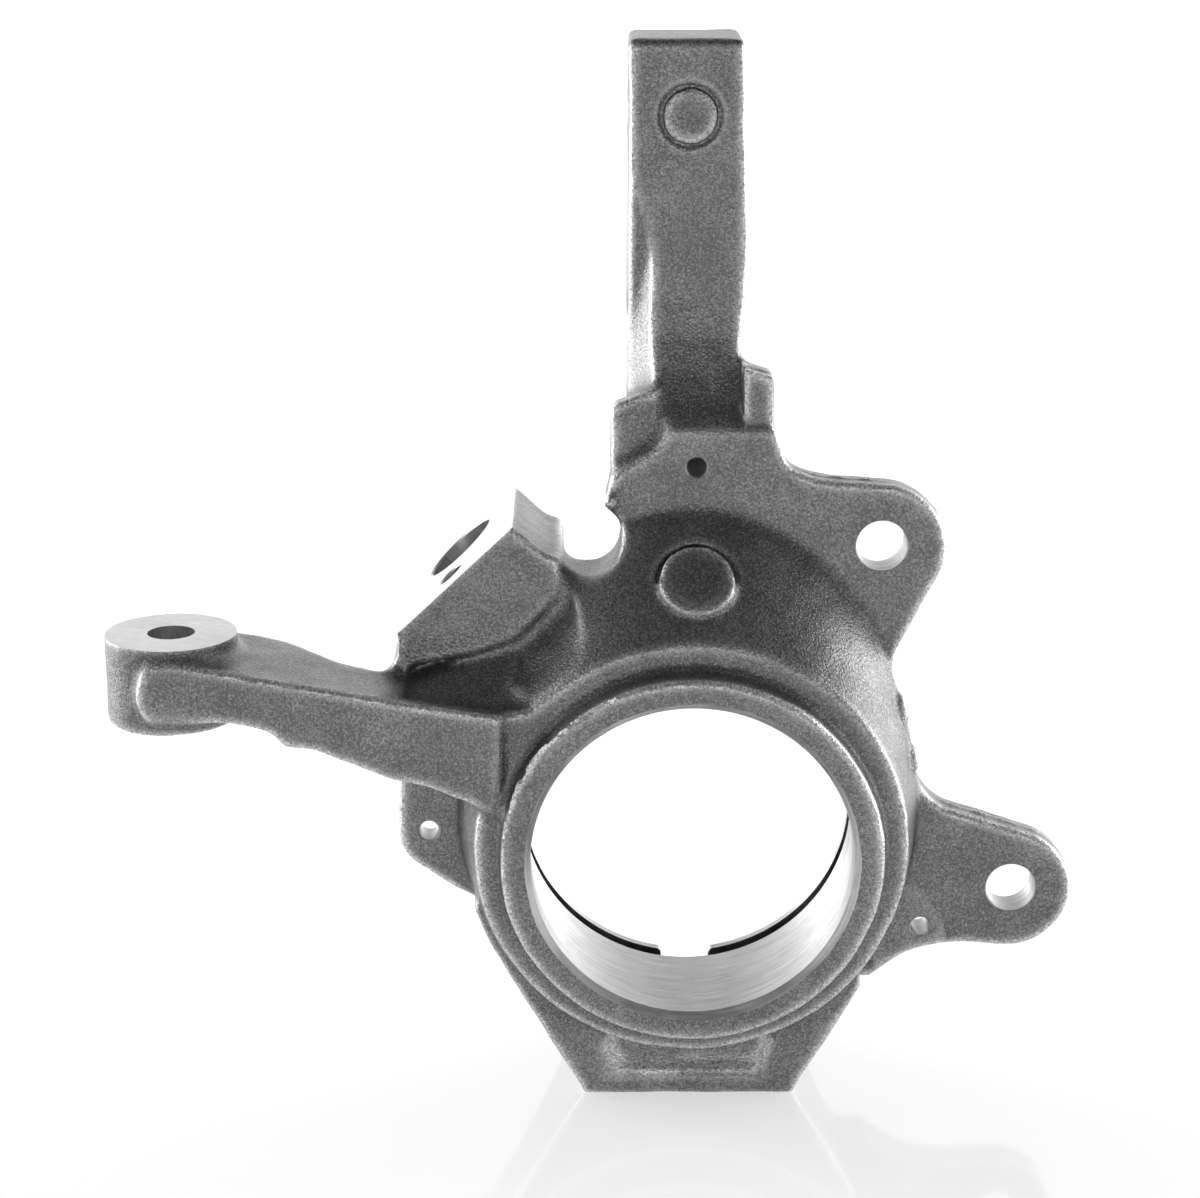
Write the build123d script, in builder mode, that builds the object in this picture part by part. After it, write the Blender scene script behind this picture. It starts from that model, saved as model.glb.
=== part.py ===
from build123d import *

import os
from math import cos, hypot, radians, sin

# Steering knuckle: one bare iron casting with its machined bores, holes and seats.
# Millimetres, Z up. The origin is on the hub bore axis, halfway through the bearing
# seat. The bore axis is Y, the outboard side faces -Y and the steering arm points to -X.

# Hub barrel, from the outboard end to the inboard end
bearing_radius = 42.0          # seat of a bearing 84 mm across
bearing_length = 32.6
lip_height = 2.6               # the lip that the bearing is pressed against
lip_depth = 7.7
ring_wall = 7.2                # end ring round the lip
ring_step = 7.7                # how far the ring stands ahead of the barrel
ring_draft = 0.6
barrel_wall = 11.0
barrel_swell = 2.0             # the barrel widens a little towards the flange
groove_width = 4.2             # snap ring groove behind the bearing
groove_depth = 2.4
rim_width = 3.5                # rim that holds the snap ring
front_chamfer = 1.5
mouth_chamfer = 1.2
notch_width = 12.4             # notch through the rim, where the ring's ends sit
notch_depth = 5.5
notch_corner = 2.0

lip_radius = bearing_radius - lip_height
ring_radius = lip_radius + ring_wall
barrel_radius = bearing_radius + barrel_wall
seat_front = -bearing_length / 2
seat_back = bearing_length / 2
barrel_front = seat_front - lip_depth
barrel_face = barrel_front + ring_step
barrel_back = seat_back + groove_width + rim_width

# Flange plane with the caliper ears and the shield screws
flange_front = 9.0
ear_thickness = 10.0
lug_thickness = 8.4
neck_side = 5.3                # how far the neck stands out past the barrel, sideways
neck_top = 27.2                # and upwards
neck_thickness = 14.0
caliper_reach = 85.35          # both caliper bolts are this far from the bore axis
upper_ear_angle = 56.3
lower_ear_angle = -13.4
ear_radius = 16.0
ear_hole_radius = 6.35         # clearance for caliper bolts
shield_hole_radius = 2.5       # tapping size of the shield screws
shield_top = (1.45, 90.9)
shield_left = (-65.8, -3.8)
shield_right = (60.1, -30.1)
shield_top_depth = 20.0
pad_rise = 0.9                 # raised pad round the right shield hole

flange_back = flange_front + ear_thickness
neck_half_width = barrel_radius + neck_side
neck_half_height = barrel_radius + neck_top

# Foot with the socket for the ball joint's stud
foot_level = -66.6
foot_front = -12.0
foot_back = 33.0
foot_half_width = 26.6
foot_heel = 7.0                # upright strip at the back of the sole
foot_slope_top = -44.0         # where the sloping back meets the barrel's rim
foot_throat = -34.0            # where it turns upright inside the barrel
foot_root = -4.0
stud_radius = 8.0
stud_depth = 19.0
stud_y = 10.5
pocket_depth = 3.0
pocket_rail = 5.5              # height of the rail under the front pocket
pocket_corner = -48.6          # where its sides run up under the barrel
pocket_floor_rise = 0.8

# Steering arm
arm_front = -17.8
arm_thickness = 36.8
boss_x = -127.5
boss_radius = 16.2
boss_top = 51.8
boss_height = 21.6
rod_top_radius = 5.8           # tapered hole, narrow end up
rod_bottom_radius = 7.1
arm_rib = 4.5                  # rib left along the front of the arm's pocket
arm_pocket_floor = 30.0
arm_pocket_back = 6.5

# Speed sensor block
sensor_front = 2.0
sensor_back = 45.0
sensor_low = (-72.0, 50.9)     # the two ends of the machined face, seen along Y
sensor_high = (-43.7, 77.6)
sensor_hole_radius = 10.0
sensor_hole_y = 34.0
sensor_screw_radius = 3.4
sensor_screw_y = 13.5
sensor_screw_shift = -2.0
sensor_screw_depth = 16.0
sensor_hole_depth = 58.0

# Strut tongue
tongue_front = 20.0
tongue_back = 53.0
tongue_top = 193.0
tongue_left = -15.2
tongue_right = 12.6
strut_hole_radius = 7.0        # clearance for strut bolts
strut_hole_y = 39.5
strut_upper = 176.0
strut_lower = 122.0

# Round datum pads, one on the tongue and one on the neck
tongue_pad = (-0.5, 174.9)
tongue_pad_radius = 6.5
tongue_pad_groove = 1.2
tongue_pad_sink = 0.9
neck_pad_x = 1.2
neck_pad_share = 0.47          # place of the pad, as a share of the neck's slope
neck_pad_radius = 9.2
neck_pad_rise = 2.2

through = 10.0                 # how far a cutting shape runs past a wall


def facing(y):
    """Plane across the bore axis at y, drawn as seen from the outboard side."""
    return Plane.XZ.offset(-y)


def ear_at(angle):
    """Centre of a caliper bolt, seen along the bore axis."""
    return (caliper_reach * cos(radians(angle)), caliper_reach * sin(radians(angle)))


upper_ear = ear_at(upper_ear_angle)
lower_ear = ear_at(lower_ear_angle)

# Arm, the overlap of its front outline and its plan
with BuildPart() as arm:
    with BuildSketch(facing(arm_front)):
        with BuildLine():
            ThreePointArc((boss_x - 2.5, 48.6), (boss_x - 6.5, 41.8), (boss_x - 3.8, 34.4))
            Polyline(
                (boss_x - 3.8, 34.4), (boss_x + 15.9, 33.9), (boss_x + 20.7, 32.6), (-101.8, 31.1),
                (-98.6, 27.5), (-91.8, 26.9), (-83.0, 23.3), (-73.4, 19.4), (-64.9, 17.6),
                (-46.6, 10.0), (-46.6, 35.8),
            )
            Spline((-46.6, 35.8), (-63.4, 38.3), (-87.3, 42.5), (boss_x + 18.8, 46.5), (boss_x + 2.1, 49.1))
            Line((boss_x + 2.1, 49.1), (boss_x - 2.5, 48.6))
        make_face()
    extrude(amount=-arm_thickness)
    with BuildSketch(Plane.XY):
        with BuildLine():
            Polyline(
                (boss_x, boss_radius), (boss_x - boss_radius / 2, 0.0), (boss_x - boss_radius / 2, arm_front),
                (-40.0, arm_front), (-40.0, 18.0), (-62.0, 16.0), (-74.0, 4.6),
            )
            Spline(
                (-74.0, 4.6), (-88.0, 7.0), (-99.0, 14.4), (boss_x, boss_radius),
                tangents=((-1, 0), (-1, 0)),
            )
        make_face()
    extrude(amount=boss_top + through, both=True, mode=Mode.INTERSECT)

# Tongue, stacked sections that narrow, sweep forward to the flange and run down into
# the barrel. Each gives its height, its front and back, the left front corner, the shelf
# behind it and the left side with their depths, and the right front corner and side.
sweep = tongue_front - flange_front
with BuildPart() as tongue:
    for level, front, back, left, shelf, shelf_y, side_left, left_y, right, side_right, right_y in (
        (tongue_top, tongue_front, tongue_back, 0.3, 0.2, 20.4, 0.0, 21.0, -0.3, 0.0, 31.0),
        (160.0, tongue_front, tongue_back, 0.4, 0.3, 20.4, 0.0, 21.0, 0.8, 1.0, 31.0),
        (150.0, tongue_front, tongue_back, 4.4, 3.5, 20.8, 0.0, 22.0, 1.0, 1.3, 31.0),
        (141.0, tongue_front, tongue_back, 5.9, 4.7, 22.4, 0.0, 24.6, 1.0, 1.4, 31.0),
        (130.0, tongue_front, tongue_back, 5.5, 3.4, 26.6, 0.0, 28.6, 0.4, 1.0, 31.0),
        (121.0, tongue_front - 0.08 * sweep, tongue_back - 1.0, 5.6, 2.0, 28.6, 0.0, 31.0, -0.4, 0.2, 31.0),
        (113.0, tongue_front - 0.29 * sweep, tongue_back - 2.0, 6.2, 1.8, 28.0, 0.0, 31.0, -1.2, 0.0, 30.0),
        (106.0, tongue_front - 0.6 * sweep, tongue_back - 3.0, 7.4, 2.2, 26.5, 0.0, 30.0, 0.8, 1.4, 29.0),
        (99.8, flange_front, tongue_back - 4.5, 9.6, 3.0, 24.0, -0.2, 28.0, 8.2, 8.4, 28.0),
        (88.0, flange_front, tongue_back - 8.5, 9.6, 3.0, 24.0, -0.6, 28.0, 8.2, 8.8, 28.0),
        (72.0, flange_front + 1.0, barrel_back + 12.0, 7.6, 3.0, 20.0, -0.4, 24.0, 8.2, 8.6, 24.0),
        (50.0, flange_front + 2.0, barrel_back - 1.0, 5.6, 3.0, 16.0, -0.2, 20.0, 8.2, 8.4, 20.0),
    ):
        with BuildSketch(Plane.XY.offset(level)):
            Polygon(
                (tongue_left + left, front), (tongue_right + right, front),
                (tongue_right + side_right, right_y), (tongue_right + side_right, back),
                (tongue_left + side_left, back), (tongue_left + side_left, left_y),
                (tongue_left + shelf, shelf_y),
                align=None,
            )
    loft(ruled=True)

# Foot, the overlap of its front outline and its side profile
with BuildPart() as foot:
    with BuildSketch(facing(foot_front)):
        Polygon(
            (-foot_half_width, foot_level), (foot_half_width, foot_level),
            (foot_half_width + 16.8, foot_level + 29.6), (36.0, -14.0), (-48.0, -10.0), (-54.0, -15.6),
            (-49.9, -26.2), (-foot_half_width - 13.5, foot_level + 23.6),
            (-foot_half_width - 6.4, foot_level + 11.0),
            align=None,
        )
    extrude(amount=foot_front - foot_back)
    with BuildSketch(Plane.YZ):
        Polygon(
            (foot_front, foot_level), (foot_back, foot_level), (foot_back, foot_level + foot_heel),
            (barrel_back - 2.0, foot_slope_top), (flange_back - 1.0, foot_throat),
            (flange_back - 1.0, foot_root), (foot_front, foot_root),
            align=None,
        )
    extrude(amount=2 * barrel_radius, both=True, mode=Mode.INTERSECT)

# The whole casting
with BuildPart() as knuckle_casting:
    # Barrel and its end ring
    with BuildSketch(Plane.XY):
        Polygon(
            (0, barrel_front), (ring_radius, barrel_front), (ring_radius + ring_draft, barrel_face),
            (barrel_radius, barrel_face), (barrel_radius + barrel_swell, flange_front),
            (barrel_radius + barrel_swell / 2, flange_back), (barrel_radius - 1.5, barrel_back),
            (0, barrel_back),
            align=None,
        )
    revolve(axis=Axis.Y)

    # Neck that flares back and up from the barrel's face to the flange, and its back,
    # which closes in to the barrel again. Each end has a half ellipse above the bore
    # axis and one below.
    for ends in (
        (
            (barrel_face, barrel_radius, barrel_radius, barrel_radius),
            (flange_front, neck_half_width, neck_half_height, barrel_radius + barrel_swell),
        ),
        (
            (flange_front, neck_half_width, barrel_radius + neck_thickness, barrel_radius + barrel_swell / 2),
            (barrel_back - 1.0, barrel_radius + 1.0, barrel_radius + neck_thickness - 5.0, barrel_radius - 1.5),
        ),
    ):
        for y, half_width, upper, lower in ends:
            with BuildSketch(facing(y)):
                with BuildLine():
                    EllipticalCenterArc((0, 0), half_width, upper, start_angle=0, arc_size=180)
                    EllipticalCenterArc((0, 0), half_width, lower, start_angle=180, arc_size=180)
                make_face()
        loft(ruled=True)

    # Flange plate with the upper caliper ear
    ear_x, ear_z = upper_ear
    with BuildSketch(facing(flange_front)):
        with BuildLine():
            Polyline(
                (40.0, 20.0), (-30.0, 40.0), (-36.0, 66.0), (-21.1, 82.0), (-19.6, 88.4),
                (-12.5, 93.0), (-8.9, 95.4), (-5.6, 99.8), (20.8, 99.8), (22.6, 94.5),
            )
            ThreePointArc((22.6, 94.5), (24.2, 91.0), (28.0, 89.0))
            Spline(
                (28.0, 89.0), (38.5, 87.0), (ear_x, ear_z + ear_radius - 0.6),
                tangents=((1, -0.45), (1, -0.08)),
            )
            ThreePointArc(
                (ear_x, ear_z + ear_radius - 0.6),
                (ear_x + 0.725 * ear_radius, ear_z + 0.64 * ear_radius),
                (ear_x + ear_radius, ear_z - 0.9),
            )
            ThreePointArc(
                (ear_x + ear_radius, ear_z - 0.9), (ear_x + ear_radius - 0.7, ear_z - 6.0),
                (ear_x + ear_radius - 3.1, ear_z - 10.6),
            )
            Polyline(
                (ear_x + ear_radius - 3.1, ear_z - 10.6), (51.4, 42.5), (50.6, 36.0), (40.0, 20.0),
            )
        make_face()
    extrude(amount=-ear_thickness)

    # Lower caliper ear
    ear_x, ear_z = lower_ear
    with BuildSketch(facing(flange_front)):
        with BuildLine():
            Polyline((40.0, 30.0), (53.5, 27.0), (57.8, 11.5))
            ThreePointArc((57.8, 11.5), (60.2, 6.4), (66.0, 1.6))
            Line((66.0, 1.6), (ear_x + 5.2, ear_z + ear_radius - 1.8))
            ThreePointArc(
                (ear_x + 5.2, ear_z + ear_radius - 1.8), (ear_x + ear_radius - 0.7, ear_z - 1.0),
                (ear_x + 1.6, ear_z - ear_radius - 0.4),
            )
            Spline(
                (ear_x + 1.6, ear_z - ear_radius - 0.4), (66.0, -35.4), (56.5, -38.0), (47.6, -44.8),
                tangents=((-1, 0.02), (-0.72, -0.72)),
            )
            Polyline((47.6, -44.8), (36.0, -44.0), (40.0, 30.0))
        make_face()
    extrude(amount=-ear_thickness)

    # Raised pad round the right shield hole
    pad_x, pad_z = shield_right
    with BuildSketch(facing(flange_front)):
        Polygon(
            (pad_x - 10.0, pad_z + 22.0), (pad_x - 3.3, pad_z + 15.0), (pad_x - 1.7, pad_z + 11.5),
            (pad_x + 4.1, pad_z + 4.1), (pad_x + 6.5, pad_z), (pad_x + 6.2, pad_z - 4.6),
            (pad_x - 3.6, pad_z - 7.4), (pad_x - 11.0, pad_z - 12.0), (pad_x - 16.0, pad_z),
            align=None,
        )
    extrude(amount=pad_rise, taper=12)

    # Left lug for the shield
    lug_x, lug_z = shield_left
    with BuildSketch(facing(flange_front)):
        with BuildLine():
            Polyline((-50.0, 16.0), (lug_x - 7.1, lug_z + 16.8), (lug_x - 7.6, lug_z + 0.2))
            ThreePointArc(
                (lug_x - 7.6, lug_z + 0.2), (lug_x - 5.8, lug_z - 6.6), (lug_x - 0.6, lug_z - 11.0),
            )
            Polyline((lug_x - 0.6, lug_z - 11.0), (-59.0, -20.0), (-53.5, -22.0), (-44.0, -14.0), (-50.0, 16.0))
        make_face()
    extrude(amount=-lug_thickness)

    add(foot.part)
    add(tongue.part)

    # Cheeks beside the root of the tongue: the two planes that each spans, its height
    # at both, the height of its front edge and of its underside
    for x_outer, x_inner, z_outer, z_inner, z_front, z_low in (
        (tongue_left - 4.3, tongue_left + 7.2, 105.0, 109.5, 88.6, 80.4),
        (tongue_right + 7.8, tongue_right - 4.6, 113.0, 116.0, 97.0, 64.0),
    ):
        for x, z_top, z_corner in ((x_outer, z_outer, z_front), (x_inner, z_inner, z_front + 2.0)):
            with BuildSketch(Plane.YZ.offset(x)):
                Polygon(
                    (flange_front + 3.0, z_corner), (flange_front + 3.8, z_top + 0.8), (tongue_front + 1.0, z_top),
                    (42.0, z_top - 9.0), (42.0, 84.0), (30.0, z_low), (16.0, z_low),
                    align=None,
                )
        loft(ruled=True)

    # Steering arm, its end boss and the web that joins it to the barrel
    add(arm.part)
    with BuildSketch(Plane.XY.offset(boss_top - boss_height)):
        with Locations((boss_x, 0)):
            Circle(boss_radius)
    extrude(amount=boss_height)
    with BuildSketch(facing(barrel_face)):
        Polygon((-47.5, 5.0), (-47.5, 35.7), (-39.3, 36.6), (-33.0, 41.4), (-20.0, 20.0), align=None)
    extrude(amount=-24.0)

    # Sensor block, and the wall behind it
    with BuildSketch(facing(sensor_front)):
        Polygon(
            sensor_low, sensor_high, (-35.7, 70.5), (-31.6, 69.5), (-31.2, 64.0), (-32.6, 60.6),
            (-35.8, 56.2), (-43.3, 49.1), (-51.9, 45.2), (-66.8, 42.1), (-74.4, 41.4), (-72.4, 44.6),
            align=None,
        )
    extrude(amount=sensor_front - sensor_back)
    with BuildSketch(facing(flange_front)):
        Polygon(
            (-72.0, 34.0), (-72.4, 46.0), (-50.0, 60.0), (-24.0, 64.0), (-20.0, 40.0), (-40.0, 20.0),
            align=None,
        )
    extrude(amount=flange_front - barrel_back + 1.0)

    # Valley between the sensor block and the flange, open to the top
    with BuildSketch(facing(barrel_front)):
        with BuildLine():
            Polyline(
                (-26.0, 120.0), (-43.7, 90.0), sensor_high, (-35.7, 70.5), (-31.6, 69.5), (-31.0, 66.2),
                (-27.2, 65.3),
            )
            ThreePointArc((-27.2, 65.3), (-20.6, 66.6), (-17.2, 72.4))
            ThreePointArc((-17.2, 72.4), (-17.2, 76.6), (-19.9, 79.8))
            Polyline((-19.9, 79.8), (-21.1, 82.0), (-23.0, 90.0), (-26.0, 120.0))
        make_face()
    extrude(amount=-90.0, mode=Mode.SUBTRACT)

    # Datum pads
    with BuildSketch(facing(tongue_front)):
        with Locations(tongue_pad):
            Circle(tongue_pad_radius + tongue_pad_groove)
            Circle(tongue_pad_radius, mode=Mode.SUBTRACT)
    extrude(amount=-tongue_pad_sink, mode=Mode.SUBTRACT)
    with BuildSketch(facing(tongue_front)):
        with Locations(tongue_pad):
            Circle(tongue_pad_radius)
    extrude(amount=tongue_pad_sink)
    neck_run = flange_front - barrel_face
    pad_point = (
        neck_pad_x, barrel_face + neck_pad_share * neck_run, barrel_radius + neck_pad_share * neck_top - 0.4
    )
    with BuildSketch(Plane(origin=pad_point, x_dir=(1, 0, 0), z_dir=(0, -neck_top, neck_run))):
        Circle(neck_pad_radius)
    extrude(amount=neck_pad_rise, taper=20)

    # Hub bore: front chamfer, lip, bearing seat, snap ring groove and mouth
    with BuildSketch(Plane.XY):
        Polygon(
            (0, barrel_front - through), (lip_radius + front_chamfer + through, barrel_front - through),
            (lip_radius, barrel_front + front_chamfer), (lip_radius, seat_front),
            (bearing_radius, seat_front), (bearing_radius, seat_back),
            (bearing_radius + groove_depth, seat_back),
            (bearing_radius + groove_depth, seat_back + groove_width),
            (bearing_radius, seat_back + groove_width), (bearing_radius, barrel_back - mouth_chamfer),
            (bearing_radius + mouth_chamfer + through, barrel_back + through),
            (0, barrel_back + through),
            align=None,
        )
    revolve(axis=Axis.Y, mode=Mode.SUBTRACT)

    # Notch through the rim behind the groove
    notch_foot = bearing_radius + notch_depth
    with BuildSketch(facing(barrel_back + 1.0)):
        with Locations((0, -notch_foot / 2 - through)):
            RectangleRounded(notch_width, notch_foot - 2 * through, notch_corner)
    extrude(amount=groove_width + rim_width + 1.0, mode=Mode.SUBTRACT)

    # Pocket in the front of the foot, under the barrel, with sloping walls
    pocket_top = pocket_floor_rise - barrel_radius
    for y, low, left_low, right_low, shoulder, left_shoulder, right_shoulder, left_high, right_high in (
        (foot_front, foot_level + pocket_rail, -20.1, 17.6, foot_level + 9.2, -20.8, 18.8, -21.4, 21.0),
        (foot_front + pocket_depth, foot_level + 8.2, -14.0, 14.9, foot_level + 12.1, -18.3, 17.2, -19.4, 18.8),
    ):
        with BuildSketch(facing(y)):
            Polygon(
                (left_low, low), (right_low, low), (right_shoulder, shoulder), (right_high, pocket_corner),
                (0.0, pocket_top), (left_high, pocket_corner), (left_shoulder, shoulder),
                align=None,
            )
    loft(ruled=True, mode=Mode.SUBTRACT)

    # Cove under the sensor block, which runs from the arm round to the valley. Each section
    # spans from the block's lower edge to the front edge of the arm or the barrel, and
    # gives its depth behind the block and two places on its sloping floor.
    for edge, rim, deep, (near, near_y), (far, far_y) in (
        ((-58.0, 44.3), (-55.4, 37.8), 5.5, (0.3, 5.0), (0.75, 0.0)),
        ((-52.1, 45.6), (-47.7, 36.3), 5.5, (0.3, 5.0), (0.7, -1.5)),
        ((-43.6, 49.4), (-38.5, 37.7), 6.0, (0.28, 5.0), (0.7, -5.0)),
        ((-36.1, 56.5), (-30.6, 44.2), 6.0, (0.25, 5.0), (0.65, -5.0)),
        ((-33.0, 60.8), (-26.8, 46.7), 6.0, (0.22, 5.0), (0.6, -5.0)),
        ((-31.9, 64.5), (-25.0, 47.8), 6.5, (0.2, 5.0), (0.58, -5.0)),
        ((-32.1, 73.0), (-22.0, 49.4), 6.5, (0.18, 5.0), (0.55, -5.0)),
    ):
        span_x = rim[0] - edge[0]
        span_z = rim[1] - edge[1]
        span = hypot(span_x, span_z)
        section = Plane(origin=(edge[0], 0, edge[1]), x_dir=(span_x, 0, span_z), z_dir=(-span_z, 0, span_x))
        with BuildSketch(section):
            Polygon(
                (0, barrel_front), (0, deep), (near * span, near_y), (far * span, far_y),
                (span, barrel_face), (span, barrel_front),
                align=None,
            )
    loft(ruled=True, mode=Mode.SUBTRACT)

    # Pocket between the arm and the sensor block
    with BuildSketch(facing(arm_front + arm_rib)):
        Polygon(
            (-70.0, arm_pocket_floor), (-48.2, arm_pocket_floor), (-46.6, 39.0), (-52.0, 45.5),
            (-66.9, 42.4), (-70.0, 42.0),
            align=None,
        )
    extrude(amount=arm_front + arm_rib - arm_pocket_back, mode=Mode.SUBTRACT)

    # Caliper holes and shield screw holes
    with BuildSketch(facing(flange_front - through)):
        with Locations(upper_ear, lower_ear):
            Circle(ear_hole_radius)
        with Locations(shield_left, shield_right):
            Circle(shield_hole_radius)
    extrude(amount=-ear_thickness - 2 * through, mode=Mode.SUBTRACT)
    with BuildSketch(facing(flange_front)):
        with Locations(shield_top):
            Circle(shield_hole_radius)
    extrude(amount=-shield_top_depth, mode=Mode.SUBTRACT)

    # Stud socket, up from the sole of the foot
    with BuildSketch(Plane.XY.offset(foot_level)):
        with Locations((0, stud_y)):
            Circle(stud_radius)
    extrude(amount=stud_depth, mode=Mode.SUBTRACT)

    # Tapered hole for the tie rod's stud
    with BuildSketch(Plane.XY.offset(boss_top - boss_height)):
        with Locations((boss_x, 0)):
            Circle(rod_bottom_radius)
    with BuildSketch(Plane.XY.offset(boss_top)):
        with Locations((boss_x, 0)):
            Circle(rod_top_radius)
    loft(mode=Mode.SUBTRACT)

    # Strut bolt holes across the tongue
    with BuildSketch(Plane.YZ.offset(tongue_left - through)):
        with Locations((strut_hole_y, strut_upper), (strut_hole_y, strut_lower)):
            Circle(strut_hole_radius)
    extrude(amount=tongue_right - tongue_left + 2 * through, mode=Mode.SUBTRACT)

    # Sensor hole and its screw hole, square to the machined face
    run_x = sensor_high[0] - sensor_low[0]
    run_z = sensor_high[1] - sensor_low[1]
    face_middle = ((sensor_low[0] + sensor_high[0]) / 2, 0, (sensor_low[1] + sensor_high[1]) / 2)
    sensor_plane = Plane(origin=face_middle, x_dir=(run_x, 0, run_z), z_dir=(-run_z, 0, run_x))
    with BuildSketch(sensor_plane):
        with Locations((0, sensor_hole_y)):
            Circle(sensor_hole_radius)
    extrude(amount=-sensor_hole_depth, mode=Mode.SUBTRACT)
    with BuildSketch(sensor_plane):
        with Locations((sensor_screw_shift, sensor_screw_y)):
            Circle(sensor_screw_radius)
    extrude(amount=-sensor_screw_depth, mode=Mode.SUBTRACT)

os.makedirs("parts", exist_ok=True)
knuckle_casting.part.label = "knuckle_casting"
export_step(knuckle_casting.part, "parts/knuckle_casting.step")
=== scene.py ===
import math

import bmesh
import bpy
import numpy as np
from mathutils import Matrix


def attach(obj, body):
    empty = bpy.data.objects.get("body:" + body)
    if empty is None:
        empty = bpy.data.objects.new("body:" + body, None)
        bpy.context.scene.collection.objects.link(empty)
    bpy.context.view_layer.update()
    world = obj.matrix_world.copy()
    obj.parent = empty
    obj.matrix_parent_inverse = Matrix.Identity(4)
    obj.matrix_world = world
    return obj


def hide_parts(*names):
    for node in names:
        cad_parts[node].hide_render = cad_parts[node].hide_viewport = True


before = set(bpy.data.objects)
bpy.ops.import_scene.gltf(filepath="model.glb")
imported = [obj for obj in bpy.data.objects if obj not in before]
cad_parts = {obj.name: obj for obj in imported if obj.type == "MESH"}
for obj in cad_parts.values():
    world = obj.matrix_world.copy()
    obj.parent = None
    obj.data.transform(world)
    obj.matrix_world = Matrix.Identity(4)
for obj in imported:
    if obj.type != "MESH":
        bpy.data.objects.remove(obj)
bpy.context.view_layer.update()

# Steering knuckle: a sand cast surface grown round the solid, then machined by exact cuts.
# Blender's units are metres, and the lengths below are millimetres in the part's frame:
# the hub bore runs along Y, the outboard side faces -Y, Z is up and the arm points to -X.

import openvdb as vdb
from mathutils import Matrix, Vector

MM = 0.001
NODE = "knuckle_casting"
SEED = 11

# Grid of the cast surface
VOXEL = 0.7
MARGIN = 6.0
FILLET = 2.4                    # concave corners of the casting
TIGHT_FILLET = 1.0              # the same at the end ring, the pads and the foot's pocket
EDGE_ROUND = 0.5                # convex edges
TRIANGLES = 185000              # for the cast surface, before the cuts

# Machined sizes, as in the solid
SEAT_R = 42.0
LIP_R = 39.4
BARREL_FRONT, SEAT_FRONT, SEAT_BACK, BARREL_BACK = -24.0, -16.3, 16.3, 24.0
FRONT_CHAMFER, MOUTH_CHAMFER = 1.5, 1.2
GROOVE_WIDTH, GROOVE_DEPTH = 4.2, 2.4
RING_R = 46.6
FLANGE_FRONT, FLANGE_BACK = 9.0, 19.0
EAR_HOLE_R = 6.35
UPPER_EAR = (47.36, 71.0)
LOWER_EAR = (83.03, -19.78)
HOLE_LEAD = 0.4
SHIELD_R = 2.5
SHIELD_PAD_RISE = 0.9
LUG_BACK = 17.4
TOP_SCREW_DEPTH = 18.6
SHIELD_TOP = (1.45, 90.9)
SHIELD_LEFT = (-65.8, -3.8)
SHIELD_RIGHT = (60.1, -30.1)
FOOT_LEVEL = -66.6
STUD_R, STUD_DEPTH, STUD_Y = 8.0, 19.0, 10.5
BOSS = (-127.5, 0.0)
BOSS_R, BOSS_TOP, BOSS_HEIGHT = 16.2, 51.8, 21.6
ROD_TOP_R, ROD_BOTTOM_R = 5.8, 7.1
SENSOR_LOW, SENSOR_HIGH = (-72.0, 50.9), (-43.7, 77.6)
SENSOR_R, SENSOR_Y = 10.0, 34.0
SCREW_R, SCREW_Y, SCREW_SHIFT, SCREW_DEPTH = 3.4, 13.5, -2.0, 16.0
TONGUE_FRONT, TONGUE_LEFT = 20.0, -15.2
STRUT_R, STRUT_Y, STRUT_HEIGHTS = 7.0, 39.5, (176.0, 122.0)
STRUT_SIDES = (13.1, 12.8)      # the tongue's right side at each strut hole
STRUT_END = 13.2
TONGUE_PAD = (-0.5, 174.9)
NECK_PAD, NECK_PAD_R, NECK_PAD_RISE = (1.2, -4.4, 65.4), 9.0, 1.9
NECK_SLOPE = (25.3, 27.2)       # run and rise of the neck above the bore
COVE = (                        # points of the block's lower edge, and of the cove's far rim
    ((-58.0, 44.3), (-55.4, 37.8)), ((-52.1, 45.6), (-47.7, 36.3)), ((-43.6, 49.4), (-38.5, 37.7)),
    ((-36.1, 56.5), (-30.6, 44.2)), ((-33.0, 60.8), (-26.8, 46.7)),
)
STOCK = 1.5                     # metal left on the faces that are milled
NOTCH_FOOT, NOTCH_WIDTH, NOTCH_ROUND, NOTCH_LIP = 47.5, 12.4, 2.0, 1.5
SPOT_R, SPOT_SINK = 11.5, 0.3   # spot faces behind the ears

# Marks that the mould leaves
FLASH_TURN, FLASH_SPREAD = 2.62, 0.5
LUMPS = (                       # centre, radii and blend of each
    ((52.6, 5.0, 29.0), (2.2, 3.0, 4.5), 1.5),
    ((56.0, 5.0, 16.5), (2.0, 3.0, 3.5), 1.5),
    ((-19.6, 9.6, 82.2), (1.6, 2.0, 1.8), 1.0),
)
RAGGED_PITCH = 1.6
WAVES = ((9.0, 0.10), (2.6, 0.045))    # pitch and height of the waves of the cast skin

# Painted light on the cast skin: a painted highlight on convex edges, partly also rubbed wear, and
# painted shade in hollows.
# The curvature where the painted highlight starts, the span up to the brightest, and the dullest value,
# in hollows
EDGE_START, EDGE_SPAN, EDGE_DULLEST = 0.14, 0.46, -0.35
SMOOTH_ANGLE = 38

# Studio, and the camera that was fitted to the photograph
DOME_STRENGTH = 2.0
FLOOR_SIZE, FLOOR_GREY, FLOOR_ROUGHNESS, FLOOR_GLOW = 8.0, 0.62, 0.08, 0.55
CAMERA_LENS, CAMERA_SENSOR = 80.22, 36.0
CAMERA_PLACE = (-0.026491, -0.627821, 0.243248)
CAMERA_BACK = (-0.00636692, -0.95997989, 0.27999657)
CAMERA_TURN = -0.38


# Signed distances on a regular grid, in millimetres, negative inside

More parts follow.
